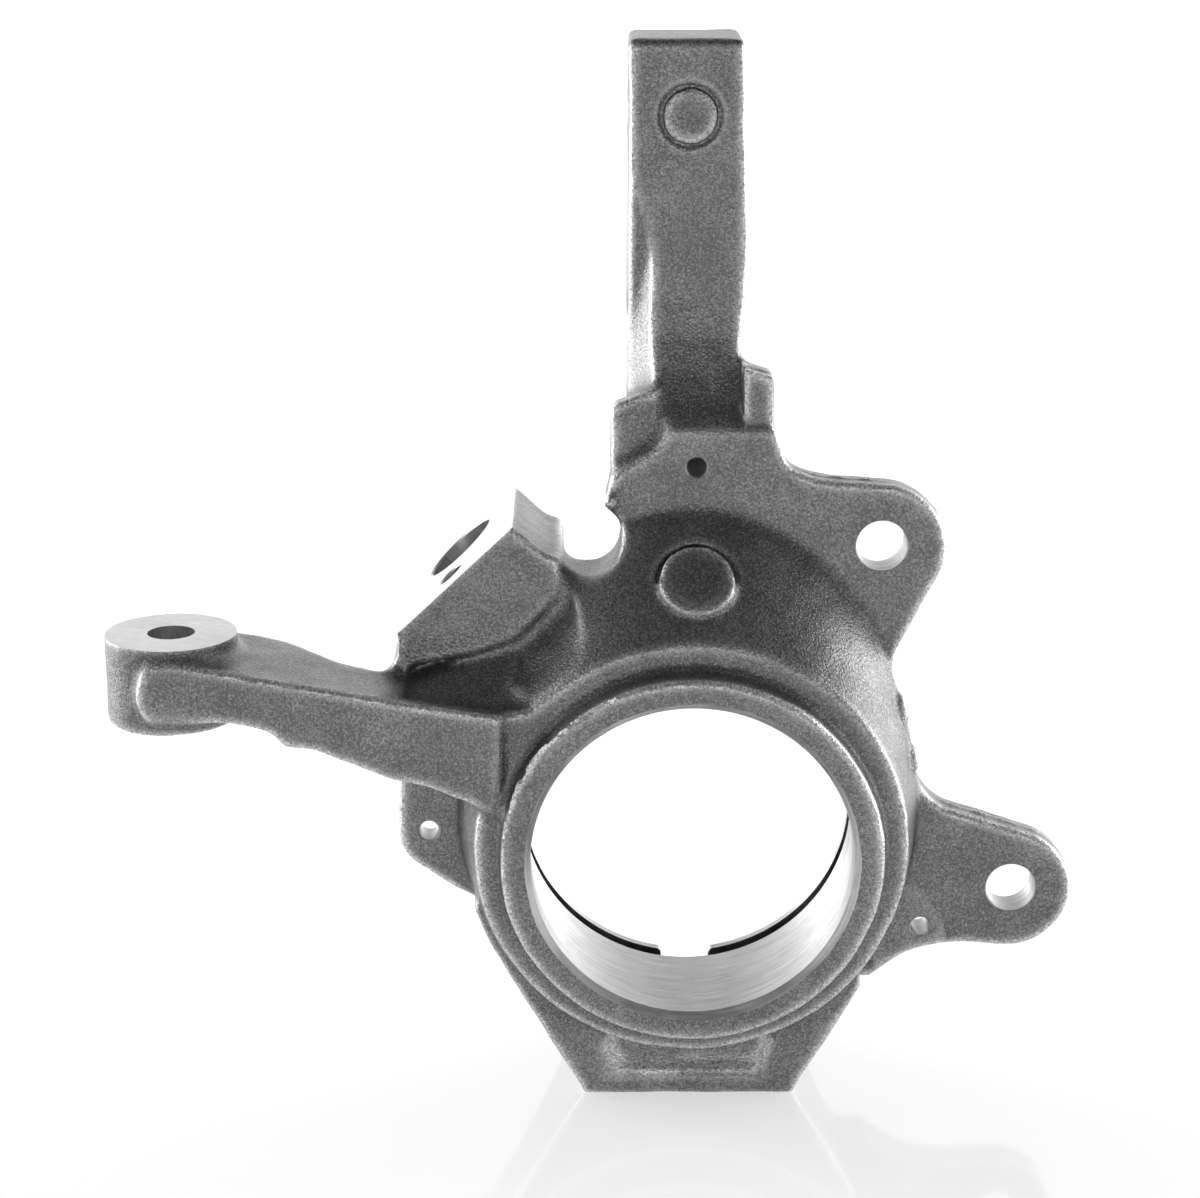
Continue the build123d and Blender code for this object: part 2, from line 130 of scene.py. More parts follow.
class Grid:
    """A box of distances round the casting, as a dense array."""

    def __init__(self, low, high):
        self.first = np.floor((np.array(low) - MARGIN) / VOXEL).astype(int)
        self.shape = np.ceil((np.array(high) + MARGIN) / VOXEL).astype(int) - self.first + 1
        axes = [(self.first[k] + np.arange(self.shape[k])) * VOXEL for k in range(3)]
        self.axes = [a.astype(np.float32) for a in axes]

    def window(self, low, high):
        """Slices and coordinates of the part of the grid inside a box."""
        cut = []
        for k in range(3):
            start = int(max(0, math.floor(low[k] / VOXEL) - self.first[k]))
            stop = int(min(self.shape[k], math.ceil(high[k] / VOXEL) - self.first[k] + 1))
            cut.append(slice(start, stop))
        x = self.axes[0][cut[0]][:, None, None]
        y = self.axes[1][cut[1]][None, :, None]
        z = self.axes[2][cut[2]][None, None, :]
        return tuple(cut), x, y, z


def level_set(points, triangles, quads, outside, inside):
    scale = vdb.createLinearTransform(voxelSize=VOXEL)
    return vdb.FloatGrid.createLevelSetFromPolygons(
        points, triangles=triangles, quads=quads, transform=scale,
        exBandWidth=outside / VOXEL + 2, inBandWidth=inside / VOXEL + 2,
    )


def shifted(level, by, outside, inside):
    """The level set of the surface that lies at distance `by` from this one."""
    points, quads = level.convertToQuads(isovalue=by)
    return level_set(points, None, quads, outside, inside)


def dense(level, grid):
    values = np.zeros(tuple(grid.shape), np.float32)
    level.copyToArray(values, ijk=tuple(int(v) for v in grid.first))
    return values


def closed_and_rounded(level, fillet, edge):
    """Concave corners filled to one radius, then convex edges rounded to another."""
    grown = shifted(level, fillet, 1.0, fillet + edge + 1.0)
    shrunk = shifted(grown, -(fillet + edge), edge + 2.0, 1.0)
    return shifted(shrunk, edge, 4.0, 4.0)


def smooth_step(value, start, end):
    t = np.clip((value - start) / (end - start), 0, 1)
    return t * t * (3 - 2 * t)


def overlap(first, *others):
    """The distance to what all the given bodies share."""
    for other in others:
        first = np.maximum(first, other)
    return first


def join(field, cut, body):
    field[cut] = np.minimum(field[cut], body)


def carve(field, cut, body):
    field[cut] = np.maximum(field[cut], -body)


def soft_union(a, b, radius):
    h = np.clip(0.5 + 0.5 * (b - a) / radius, 0, 1)
    return b + (a - b) * h - radius * h * (1 - h)


def noise_field(grid, pitch, rng):
    """Smooth random values of about unit size with the given pitch."""
    counts = [int(math.ceil(n * VOXEL / pitch)) + 4 for n in grid.shape]
    values = rng.standard_normal(counts).astype(np.float32)
    for k in range(3):
        t = np.arange(grid.shape[k]) * VOXEL / pitch + 1
        i = t.astype(int)
        f = (t - i).astype(np.float32)
        weights = (
            (1 - f) ** 3 / 6, (3 * f ** 3 - 6 * f ** 2 + 4) / 6,
            (-3 * f ** 3 + 3 * f ** 2 + 3 * f + 1) / 6, f ** 3 / 6,
        )
        shape = [1, 1, 1]
        shape[k] = -1
        values = sum(
            np.take(values, i - 1 + n, axis=k) * w.astype(np.float32).reshape(shape)
            for n, w in enumerate(weights)
        )
    return values / values.std()


# The cast surface

def mesh_arrays(obj):
    mesh = obj.data
    mesh.calc_loop_triangles()
    points = np.zeros(len(mesh.vertices) * 3, np.float32)
    mesh.vertices.foreach_get("co", points)
    triangles = np.zeros(len(mesh.loop_triangles) * 3, np.int32)
    mesh.loop_triangles.foreach_get("vertices", triangles)
    return points.reshape(-1, 3) / MM, triangles.reshape(-1, 3).astype(np.uint32)


def plug_holes(field, grid):
    """Fills what is machined later."""
    def cylinder(cut, along, radial, start, end, radius):
        join(field, cut, overlap(radial - radius, start - along, along - end))

    cut, x, y, z = grid.window((-50, -24, -50), (50, 24, 50))
    cylinder(cut, y, np.hypot(x, z), BARREL_FRONT, BARREL_BACK, SEAT_R + GROOVE_DEPTH + 0.6)
    cut, x, y, z = grid.window((-12, 8, -56), (12, 26, -40))
    join(field, cut, overlap(np.abs(x) - 8.5, np.abs(z + 46) - 4.5, 10 - y, y - BARREL_BACK))
    for centre in (UPPER_EAR, LOWER_EAR):
        cut, x, y, z = grid.window(
            (centre[0] - 10, 6, centre[1] - 10), (centre[0] + 10, 22, centre[1] + 10)
        )
        radial = np.hypot(x - centre[0], z - centre[1])
        cylinder(cut, y, radial, FLANGE_FRONT, FLANGE_BACK, EAR_HOLE_R + 0.9)
    for centre, start, end in (
        (SHIELD_LEFT, FLANGE_FRONT, LUG_BACK),
        (SHIELD_RIGHT, FLANGE_FRONT - SHIELD_PAD_RISE, FLANGE_BACK),
        (SHIELD_TOP, FLANGE_FRONT, 30.0),
    ):
        cut, x, y, z = grid.window(
            (centre[0] - 5, 4, centre[1] - 5), (centre[0] + 5, 34, centre[1] + 5)
        )
        cylinder(cut, y, np.hypot(x - centre[0], z - centre[1]), start, end, SHIELD_R + 0.9)
    cut, x, y, z = grid.window((-12, -2, FOOT_LEVEL - 2), (12, 24, -44))
    top = FOOT_LEVEL + STUD_DEPTH + 0.5
    cylinder(cut, z, np.hypot(x, y - STUD_Y), FOOT_LEVEL, top, STUD_R + 0.8)
    cut, x, y, z = grid.window((BOSS[0] - 18, -18, 28), (BOSS[0] + 18, 18, 58))
    radial = np.hypot(x - BOSS[0], y)
    cylinder(cut, z, radial, BOSS_TOP - BOSS_HEIGHT, BOSS_TOP, ROD_BOTTOM_R + 1.0)
    for height, side in zip(STRUT_HEIGHTS, STRUT_SIDES):
        cut, x, y, z = grid.window((-20, 30, height - 10), (18, 50, height + 10))
        radial = np.hypot(y - STRUT_Y, z - height)
        cylinder(cut, x, radial, TONGUE_LEFT, side, STRUT_R + 0.9)


def sensor_axes():
    """The sensor face's middle, the direction along it and the one out of it, in X and Z."""
    low, high = Vector(SENSOR_LOW), Vector(SENSOR_HIGH)
    along = (high - low).normalized()
    return (low + high) / 2, along, Vector((-along.y, along.x))


def plug_sensor_holes(field, grid):
    middle, along, out = sensor_axes()
    cut, x, y, z = grid.window((-90, 2, 36), (-28, 45, 82))
    s = (x - middle.x) * along.x + (z - middle.y) * along.y
    depth = -((x - middle.x) * out.x + (z - middle.y) * out.y)
    slope = 0.36 * s
    hole = np.hypot(s, y - SENSOR_Y) - SENSOR_R - 1.0
    screw = np.hypot(s - SCREW_SHIFT, y - SCREW_Y) - SCREW_R - 0.9
    join(field, cut, overlap(hole, -depth, depth - 18.6 - slope))
    join(field, cut, overlap(screw, -depth, depth - 17.0))


def stock_on_milled_faces(field, grid):
    """Metal that the milling cuts take off again, so that the faces end in crisp edges."""
    cut, x, y, z = grid.window((BOSS[0] - 18, -18, 40), (BOSS[0] + 18, 18, 58))
    boss = np.hypot(x - BOSS[0], y) - BOSS_R
    join(field, cut, overlap(boss, BOSS_TOP - 6 - z, z - BOSS_TOP - STOCK))
    middle, along, out = sensor_axes()
    half = (Vector(SENSOR_HIGH) - Vector(SENSOR_LOW)).length / 2
    cut, x, y, z = grid.window((-80, -2, 44), (-36, 50, 86))
    s = (x - middle.x) * along.x + (z - middle.y) * along.y
    rise = (x - middle.x) * out.x + (z - middle.y) * out.y
    block = overlap(np.abs(s) - half, np.abs(y - 23.5) - 21.5)
    join(field, cut, overlap(block, -3 - rise, rise - STOCK))
    cut, x, y, z = grid.window((-30, -16, FOOT_LEVEL - 4), (30, 37, FOOT_LEVEL + 4))
    foot = overlap(np.abs(x) - 26.6, np.abs(y - 10.5) - 22.5)
    join(field, cut, overlap(foot, FOOT_LEVEL - STOCK - z, z - FOOT_LEVEL - 1))
    cut, x, y, z = grid.window((-54, 20, -54), (54, 28, 54))
    join(field, cut, overlap(np.hypot(x, z) - 51.4, 22 - y, y - BARREL_BACK - STOCK))


def tight_corners(grid):
    """Is 1 where concave corners stay tight: the end ring, the pads and the foot's pocket."""
    weight = np.zeros(tuple(grid.shape), np.float32)
    x = grid.axes[0][:, None, None]
    y = grid.axes[1][None, :, None]
    z = grid.axes[2][None, None, :]
    ring = smooth_step(-y, 10.0, 13.0) * smooth_step(-np.hypot(x, z), -56.0, -52.0)
    shield = smooth_step(-np.hypot(x - 58.0, z + 28.0), -22.0, -17.0) * smooth_step(-y, -12.0, -10.5)
    pocket = smooth_step(-np.abs(x), -27.0, -23.0) * smooth_step(-z, 44.0, 47.0)
    pocket = pocket * smooth_step(-y, 1.0, 3.0)
    pad = smooth_step(-np.hypot(x - 1.2, z - 66.0), -15.0, -12.0) * smooth_step(-y, -6.0, -2.0)
    for area in (ring, shield, pocket, pad):
        weight = np.maximum(weight, area)
    return weight


def add_blob(field, grid, centre, radii, blend):
    centre, radii = np.array(centre), np.array(radii)
    reach = radii + 2 * blend + 1
    cut, x, y, z = grid.window(centre - reach, centre + reach)
    scaled = np.sqrt(((x - centre[0]) / radii[0]) ** 2 + ((y - centre[1]) / radii[1]) ** 2
                     + ((z - centre[2]) / radii[2]) ** 2)
    field[cut] = soft_union((scaled - 1) * radii.min(), field[cut], blend)


def trim_cheek(field, grid):
    """Frees the tongue's right flank from its cheek, and brings the cheek forward."""
    cut, x, y, z = grid.window((4, 4, 92), (26, 26, 122))
    front = np.interp(z[0, 0, :], (99.8, 106, 113, 121), (9.0, 13.4, 16.8, 19.1))[None, None, :]
    carve(field, cut, overlap((y - front) * 0.9, 6.0 - x, x - 12.4, 100.4 - z))
    slab = overlap(np.abs(x - 16.4) - 3.6, np.abs(y - 12.4) - 2.4, 95 - z, z - 115.2 + 0.26 * (x - 12.6))
    field[cut] = soft_union(slab, field[cut], 0.8)


def fill_dish(field, grid):
    """A hollow floor that rises from the arm's front edge to the sensor block."""
    cut, x, y, z = grid.window((-78, -18, 18), (-40, 12, 48))
    t = np.clip((y + 13.0) / 15.0, 0, 1.4)
    front = 34.6 + 0.126 * (-47.0 - x)
    ridge = 45.4 + 0.213 * (x + 52.0)
    floor_z = front + (ridge - 2.5 - front) * t ** 1.6
    sides = overlap(np.abs(x + 57.6) - 14.0, np.abs(y + 3.0) - 10.5)
    dish = overlap(sides, 22 - z, (z - floor_z) * 0.85)
    field[cut] = soft_union(dish, field[cut], 2.2)


def fill_cove(field, grid):
    """The soft floor of the cove, from the block's lower edge towards the barrel."""
    edge = np.array([pair[0] for pair in COVE])
    rim = np.array([pair[1] for pair in COVE])
    along = np.linspace(0, len(COVE) - 1, 240)
    across = np.linspace(0, 0.85, 35)
    first = np.minimum(along.astype(int), len(COVE) - 2)
    share = (along - first)[:, None]
    low = edge[first] * (1 - share) + edge[first + 1] * share
    high = rim[first] * (1 - share) + rim[first + 1] * share
    over = across[None, :, None]
    spots = (low[:, None, :] * (1 - over) + high[:, None, :] * over).reshape(-1, 2)
    cut, x, y, z = grid.window((-60, -8, 30), (-20, 8, 76))
    columns_x, columns_z = np.broadcast_arrays(x[:, 0, :], z[0, :, :].reshape(1, -1))
    columns = np.stack([columns_x.ravel(), columns_z.ravel()], 1)
    place = np.zeros(len(columns), np.float32)
    away = np.zeros(len(columns), np.float32)
    for start in range(0, len(columns), 500):
        some = slice(start, start + 500)
        apart = columns[some, None, :] - spots[None, :, :]
        gap = np.hypot(apart[..., 0], apart[..., 1])
        place[some] = across[gap.argmin(1) % len(across)]
        away[some] = gap.min(1)
    floor_y = np.interp(place, (0, 0.3, 0.5, 0.65, 0.85), (3.2, 2.9, 1.6, -0.6, -1.5))
    floor_y = floor_y.reshape(columns_x.shape)
    away = np.maximum(away - 0.4, 0).reshape(columns_x.shape)
    fill = np.maximum((floor_y[:, None, :] - y) * 0.8 + away[:, None, :], y - 8.0)
    field[cut] = soft_union(fill.astype(np.float32), field[cut], 1.2)


def tongue_pad(field, grid):
    """The round pad on the tongue, level with its face, and the groove round it."""
    cut, x, y, z = grid.window((-12, 15, 162), (11, 23, 187))
    rho = np.hypot(x - TONGUE_PAD[0], z - TONGUE_PAD[1])
    groove = np.hypot(rho - 7.1, (y - TONGUE_FRONT + 0.1) * 0.8) - 0.62
    carve(field, cut, groove)
    join(field, cut, overlap(rho - 6.3, TONGUE_FRONT - 0.2 - y, y - TONGUE_FRONT - 2))


def neck_pad(field, grid):
    """The raised pad on the neck, with a groove above it and a flared side below."""
    slope = math.hypot(*NECK_SLOPE)
    cut, x, y, z = grid.window((NECK_PAD[0] - 14, -16, 50), (NECK_PAD[0] + 14, 10, 82))
    rise = ((y - NECK_PAD[1]) * -NECK_SLOPE[1] + (z - NECK_PAD[2]) * NECK_SLOPE[0]) / slope
    run = ((y - NECK_PAD[1]) * NECK_SLOPE[0] + (z - NECK_PAD[2]) * NECK_SLOPE[1]) / slope
    rho = np.hypot(x - NECK_PAD[0], run)
    upper = smooth_step(run / np.maximum(rho, 1), -0.35, 0.35)
    groove = np.hypot(rho - NECK_PAD_R - 0.5, rise + 0.25) - 1.0 * upper
    field[cut] = np.where(upper > 0.05, np.maximum(field[cut], -groove), field[cut])
    flare = 0.55 * np.clip(NECK_PAD_RISE - rise, 0, 2.5) * (1 - upper)
    disc = overlap(rho - NECK_PAD_R - flare, rise - NECK_PAD_RISE - 0.02 * run, -2 - rise)
    field[cut] = soft_union(disc, field[cut], 0.25)


def ring_flash(field, grid, ragged):
    """Ragged flash on the outer edge of the end ring, thickest at one turn."""
    cut, x, y, z = grid.window((-52, -27, -52), (52, -18, 52))
    turn = np.arctan2(z, x)
    away = (turn - FLASH_TURN + math.pi) % (2 * math.pi) - math.pi
    amount = np.exp(-((away / FLASH_SPREAD) ** 2))
    flash = np.hypot(np.hypot(x, z) - RING_R, y - BARREL_FRONT - 0.3)
    flash = flash - amount * (0.45 + 0.30 * np.clip(ragged[cut], -1.6, 1.6))
    field[cut] = np.where(amount > 0.2, soft_union(flash, field[cut], 0.5), field[cut])


def ear_seams(field, grid, ragged):
    """The mould's parting line along the edges of the caliper ears."""
    seam_y = (FLANGE_FRONT + FLANGE_BACK) / 2
    cut, x, y, z = grid.window((26, seam_y - 3, -50), (104, seam_y + 3, 106))
    outside_neck = smooth_step(np.hypot(x, z), 60.0, 66.0)
    ridge = np.exp(-(((y - seam_y) / 0.55) ** 2)) * outside_neck
    field[cut] = field[cut] - ridge * (0.34 + 0.12 * np.clip(ragged[cut], -2, 2))


def pocket_rim(field, grid):
    """A thin groove along the lower rim of the foot's pocket."""
    cut, x, y, z = grid.window((-24, -16, -66), (24, -6, -44))
    rim = np.hypot(z - FOOT_LEVEL - 5.2, y + 12.0) - 0.55
    carve(field, cut, overlap(rim, -21.0 - x, x - 18.4))


def casting_marks(field, grid, ragged):
    tongue_pad(field, grid)
    neck_pad(field, grid)
    ring_flash(field, grid, ragged)
    ear_seams(field, grid, ragged)
    trim_cheek(field, grid)
    fill_dish(field, grid)
    fill_cove(field, grid)
    pocket_rim(field, grid)
    for centre, radii, blend in LUMPS:
        add_blob(field, grid, centre, radii, blend)


def cast_field(points, triangles):
    """Distances of the casting before it is machined, and a measure of its edges, with patches of painted
    highlight and painted shade added.
    """
    grid = Grid(points.min(0), points.max(0))
    rough = dense(level_set(points, triangles, None, 4.0, 4.0), grid)
    plug_holes(rough, grid)
    plug_sensor_holes(rough, grid)
    stock_on_milled_faces(rough, grid)
    filled = vdb.FloatGrid(4.0)
    filled.transform = vdb.createLinearTransform(voxelSize=VOXEL)
    filled.copyFromArray(rough, ijk=tuple(int(v) for v in grid.first))
    filled.gridClass = vdb.GridClass.LEVEL_SET
    corners, quads = filled.convertToQuads(isovalue=0.0)
    soft_level = level_set(corners, None, quads, FILLET + 1, 1.0)
    soft = dense(closed_and_rounded(soft_level, FILLET, EDGE_ROUND), grid)
    crisp_level = level_set(corners, None, quads, TIGHT_FILLET + 1, 1.0)
    crisp = dense(closed_and_rounded(crisp_level, TIGHT_FILLET, EDGE_ROUND), grid)
    weight = tight_corners(grid)
    field = soft + (crisp - soft) * weight

    rng = np.random.default_rng(SEED)
    casting_marks(field, grid, noise_field(grid, RAGGED_PITCH, rng))
    edges = laplacian(field)
    painted_light_patches(edges, field, grid)
    for pitch, height in WAVES:
        field += height * np.clip(noise_field(grid, pitch, rng), -2, 2)
    return grid, field, edges


def painted_light_patches(edges, field, grid):
    """Painted highlight on the sloping ledge in the foot's pocket and on the tongue's left-facing flank,
    and painted shade on the tongue's top end.
    """
    # Painted highlight on the up-facing ledge in the foot's pocket
    cut, x, y, z = grid.window((-24, -14, -64), (24, -6, -44))
    painted_ledge_highlight = smooth_step(y, -11.9, -11.2) * smooth_step(-y, 9.2, 9.8)
    painted_ledge_highlight = painted_ledge_highlight * (np.abs(x) < 21.5) * (z < -48)
    edges[cut] = np.maximum(edges[cut], 0.60 * painted_ledge_highlight)
    # Painted shade: the tongue's top end is held at the dull value of flat faces, without its painted
    # edge highlight
    cut, x, y, z = grid.window((-20, 20.6, 191.8), (20, 60, 196))
    edges[cut] = -0.30
    # Painted highlight on the tongue's left-facing flank, from the direction the surface faces
    cut, x, y, z = grid.window((-24, 8, 106), (2, 60, 172))
    painted_flank_highlight = smooth_step(-np.gradient(field[cut], VOXEL, axis=0), 0.55, 0.85)
    edges[cut] += 0.30 * painted_flank_highlight * smooth_step(-z, -172, -150)


def laplacian(field):
    """Curvature of the surface from its distances, averaged over a few steps of the grid."""
    total = -6 * field
    for k in range(3):
        total += np.roll(field, 1, k) + np.roll(field, -1, k)
    for k in range(3):
        total = (np.roll(total, 1, k) + 2 * total + np.roll(total, -1, k)) / 4
    return total / VOXEL ** 2


def sample(grid, values, points):
    """Trilinear values at points given in millimetres."""
    place = points / VOXEL - grid.first
    corner = np.clip(np.floor(place).astype(int), 0, grid.shape - 2)
    part = place - corner
    total = np.zeros(len(points), np.float32)
    for dx in (0, 1):
        for dy in (0, 1):
            for dz in (0, 1):
                share = np.prod(np.abs(1 - np.array((dx, dy, dz)) - part), axis=1)
                total += share * values[corner[:, 0] + dx, corner[:, 1] + dy, corner[:, 2] + dz]
    return total


def mesh_object(name, points, faces):
    mesh = bpy.data.meshes.new(name)
    mesh.from_pydata((points * MM).tolist(), [], faces.tolist())
    mesh.validate()
    obj = bpy.data.objects.new(name, mesh)
    bpy.context.scene.collection.objects.link(obj)
    return obj


def apply_modifiers(obj):
    graph = bpy.context.evaluated_depsgraph_get()
    mesh = bpy.data.meshes.new_from_object(obj.evaluated_get(graph))
    obj.modifiers.clear()
    old = obj.data
    obj.data = mesh
    bpy.data.meshes.remove(old)


def cast_object(grid, field):
    surface = vdb.FloatGrid(4.0)
    surface.transform = vdb.createLinearTransform(voxelSize=VOXEL)
    surface.copyFromArray(np.clip(field, -4, 4).astype(np.float32), ijk=tuple(int(v) for v in grid.first))
    points, quads = surface.convertToQuads(isovalue=0.0)
    obj = mesh_object("casting", points, quads)
    work = bmesh.new()
    work.from_mesh(obj.data)
    if work.calc_volume(signed=True) < 0:
        bmesh.ops.reverse_faces(work, faces=work.faces)
    work.to_mesh(obj.data)
    work.free()
    thin = obj.modifiers.new("thin", "DECIMATE")
    thin.ratio = min(1.0, TRIANGLES / (2 * len(quads)))
    apply_modifiers(obj)
    return obj


# Machining cuts

def turned(profile, origin, axis, sides, material):
    """A closed body of revolution. The profile holds (place along the axis, radius)."""
    turn = Vector(axis).normalized().to_track_quat("Z", "Y").to_matrix().to_4x4()
    move = Matrix.Translation(Vector(origin) * MM) @ turn
    work = bmesh.new()
    rings = []
    for along, radius in profile:
        ring = []
        for i in range(sides):
            angle = 2 * math.pi * (i + 0.5) / sides
            place = Vector((radius * math.cos(angle), radius * math.sin(angle), along)) * MM
            ring.append(work.verts.new(move @ place))
        rings.append(ring)
    for a, b in zip(rings, rings[1:]):
        for i in range(sides):
            j = (i + 1) % sides
            work.faces.new((a[i], a[j], b[j], b[i]))
    work.faces.new(list(reversed(rings[0])))
    work.faces.new(rings[-1])
    return cutter(work, material)


def prism(outline, frame_matrix, start, end, material):
    """A closed prism: an outline in the frame's own x and y, from start to end along z."""
    work = bmesh.new()
    ends = []
    for level in (start, end):
        ends.append([work.verts.new(frame_matrix @ (Vector((x, y, level)) * MM)) for x, y in outline])
    count = len(outline)
    for i in range(count):
        j = (i + 1) % count
        work.faces.new((ends[0][i], ends[0][j], ends[1][j], ends[1][i]))
    work.faces.new(list(reversed(ends[0])))
    work.faces.new(ends[1])
    return cutter(work, material)


def cutter(work, material):
    bmesh.ops.recalc_face_normals(work, faces=work.faces)
    mesh = bpy.data.meshes.new("cutter")
    work.to_mesh(mesh)
    work.free()
    mesh.materials.append(material)
    obj = bpy.data.objects.new("cutter", mesh)
    bpy.context.scene.collection.objects.link(obj)
    return obj


def rectangle(x0, y0, x1, y1):
    return [(x0, y0), (x1, y0), (x1, y1), (x0, y1)]


def cut_away(obj, cutters):
    tool = cutters[0]
    with bpy.context.temp_override(
        active_object=tool, selected_editable_objects=cutters, selected_objects=cutters
    ):
        bpy.ops.object.join()
    step = obj.modifiers.new("cut", "BOOLEAN")
    step.operation = "DIFFERENCE"
    step.solver = "EXACT"
    step.material_mode = "TRANSFER"
    step.object = tool
    apply_modifiers(obj)
    bpy.data.objects.remove(tool)


def milling_cuts(material):
    """Flat cuts: boss top, sensor face, sole, inboard face and spot faces."""
    middle, along, out = sensor_axes()
    slant = Matrix((
        (along.x, 0, out.x, middle.x * MM), (0, 1, 0, 0),
        (along.y, 0, out.y, middle.y * MM), (0, 0, 0, 1),
    ))
    cuts = [
        turned([(0, BOSS_R + 4), (8, BOSS_R + 4)], (BOSS[0], 0, BOSS_TOP), (0, 0, 1), 64, material),
        prism(rectangle(-27, -4, 27, 50), slant, 0, 9, material),
        prism(rectangle(-34, -18, 34, 39), Matrix.Translation((0, 0, FOOT_LEVEL * MM)), -8, 0, material),
        turned([(0, 52.0), (8, 52.0)], (0, BARREL_BACK, 0), (0, 1, 0), 160, material),
    ]
    for centre in (UPPER_EAR, LOWER_EAR):
        place = (centre[0], FLANGE_BACK - SPOT_SINK, centre[1])
        cuts.append(turned([(0, SPOT_R), (6, SPOT_R)], place, (0, 1, 0), 96, material))
    return cuts


def notch_cut(material):
    """The notch through the rim behind the groove, with rounded corners."""
    upright = Matrix(((1, 0, 0, 0), (0, 0, 1, 0), (0, 1, 0, 0), (0, 0, 0, 1)))
    low, half = -NOTCH_FOOT, NOTCH_WIDTH / 2
    points = []
    for centre_x, centre_z, radius, first, step in (
        (half - NOTCH_ROUND, low + NOTCH_ROUND, NOTCH_ROUND, -90, 15),
        (half + NOTCH_LIP, -SEAT_R + 0.7 - NOTCH_LIP, NOTCH_LIP, 180, -15),
        (-half - NOTCH_LIP, -SEAT_R + 0.7 - NOTCH_LIP, NOTCH_LIP, 90, -15),
        (-half + NOTCH_ROUND, low + NOTCH_ROUND, NOTCH_ROUND, 180, 15),
    ):
        if len(points) == 14:
            points += [(half + NOTCH_LIP, -37.0), (-half - NOTCH_LIP, -37.0)]
        for k in range(7):
            angle = math.radians(first + step * k)
            points.append((centre_x + radius * math.cos(angle), centre_z + radius * math.sin(angle)))
    return prism(points, upright, SEAT_BACK, BARREL_BACK + 12, material)


def drilled(start, end, radius, lead, origin, axis, material, blind=False):
    """A hole with a small lead-in at its mouths, along its axis from start to end."""
    profile = [(start - 6, radius + lead + 6), (start + lead, radius)]
    if blind:
        profile += [(end, radius), (end + radius * 0.55, 0.05)]
    else:
        profile += [(end - lead, radius), (end + 6, radius + lead + 6)]
    return turned(profile, origin, axis, 64, material)


def hole_cuts(material):
    """The hub bore with its lip, seat and mouth, and every drilled hole."""
    seat = [
        (BARREL_FRONT - 8, LIP_R + FRONT_CHAMFER + 8), (BARREL_FRONT + FRONT_CHAMFER, LIP_R),
        (SEAT_FRONT, LIP_R), (SEAT_FRONT, SEAT_R),
        (BARREL_BACK - MOUTH_CHAMFER, SEAT_R), (BARREL_BACK + 8, SEAT_R + MOUTH_CHAMFER + 8),
    ]
    cuts = [turned(seat, (0, 0, 0), (0, 1, 0), 256, material)]
    for centre in (UPPER_EAR, LOWER_EAR):
        cuts.append(drilled(FLANGE_FRONT, FLANGE_BACK - SPOT_SINK, EAR_HOLE_R, 0.25,
                            (centre[0], 0, centre[1]), (0, 1, 0), material))
    for centre, start, end, blind in (
        (SHIELD_LEFT, FLANGE_FRONT, LUG_BACK, False),
        (SHIELD_RIGHT, FLANGE_FRONT - SHIELD_PAD_RISE, FLANGE_BACK, False),
        (SHIELD_TOP, FLANGE_FRONT, FLANGE_FRONT + TOP_SCREW_DEPTH, True),
    ):
        cuts.append(drilled(start, end, SHIELD_R, HOLE_LEAD,
                            (centre[0], 0, centre[1]), (0, 1, 0), material, blind=blind))
    cuts.append(drilled(0, STUD_DEPTH - 4.4, STUD_R, 0.5,
                        (0, STUD_Y, FOOT_LEVEL), (0, 0, 1), material, blind=True))
    cuts.append(turned(
        [(BOSS_TOP - BOSS_HEIGHT - 5, ROD_BOTTOM_R + 0.3), (BOSS_TOP + 5, ROD_TOP_R - 0.3)],
        (BOSS[0], 0, 0), (0, 0, 1), 96, material,
    ))
    for height in STRUT_HEIGHTS:
        cuts.append(drilled(TONGUE_LEFT, STRUT_END, STRUT_R, HOLE_LEAD,
                            (0, STRUT_Y, height), (1, 0, 0), material))
    middle, along, out = sensor_axes()
    inward = (-out.x, 0, -out.y)
    cuts.append(turned(
        [(-6, SENSOR_R + 6.4), (0.4, SENSOR_R), (40, SENSOR_R)],
        (middle.x, SENSOR_Y, middle.y), inward, 96, material,
    ))
    screw = middle + SCREW_SHIFT * along
    cuts.append(drilled(0, SCREW_DEPTH - 1.9, SCREW_R, HOLE_LEAD,
                        (screw.x, SCREW_Y, screw.y), inward, material, blind=True))
    return cuts


def groove_cut(material):
    """The snap ring groove at the back of the seat."""
    return [
        turned([(SEAT_BACK, SEAT_R + GROOVE_DEPTH), (SEAT_BACK + GROOVE_WIDTH, SEAT_R + GROOVE_DEPTH)],
               (0, 0, 0), (0, 1, 0), 256, material),
    ]


# Materials

def new_material(name):
    material = bpy.data.materials.new(name)
    material.use_nodes = True
    nodes, links = material.node_tree.nodes, material.node_tree.links
    return material, nodes, links, nodes["Principled BSDF"]


def node(nodes, kind, **values):
    made = nodes.new(kind)
    for key, value in values.items():
        setattr(made, key, value)
    return made


def noise(nodes, links, vector, scale, detail, rough):
    made = node(nodes, "ShaderNodeTexNoise")
    made.inputs["Scale"].default_value = scale
    made.inputs["Detail"].default_value = detail
    made.inputs["Roughness"].default_value = rough
    links.new(vector, made.inputs["Vector"])
    return made.outputs["Fac"]


def remap(nodes, links, value, low, high, to_low, to_high):
    made = node(nodes, "ShaderNodeMapRange")
    for key, number in (("From Min", low), ("From Max", high), ("To Min", to_low), ("To Max", to_high)):
        made.inputs[key].default_value = number
    links.new(value, made.inputs["Value"])
    return made.outputs["Result"]


def math_node(nodes, links, operation, a, b):
    made = node(nodes, "ShaderNodeMath", operation=operation)
    for socket, value in zip(made.inputs, (a, b)):
        if isinstance(value, (int, float)):
            socket.default_value = value
        else:
            links.new(value, socket)
    return made.outputs["Value"]


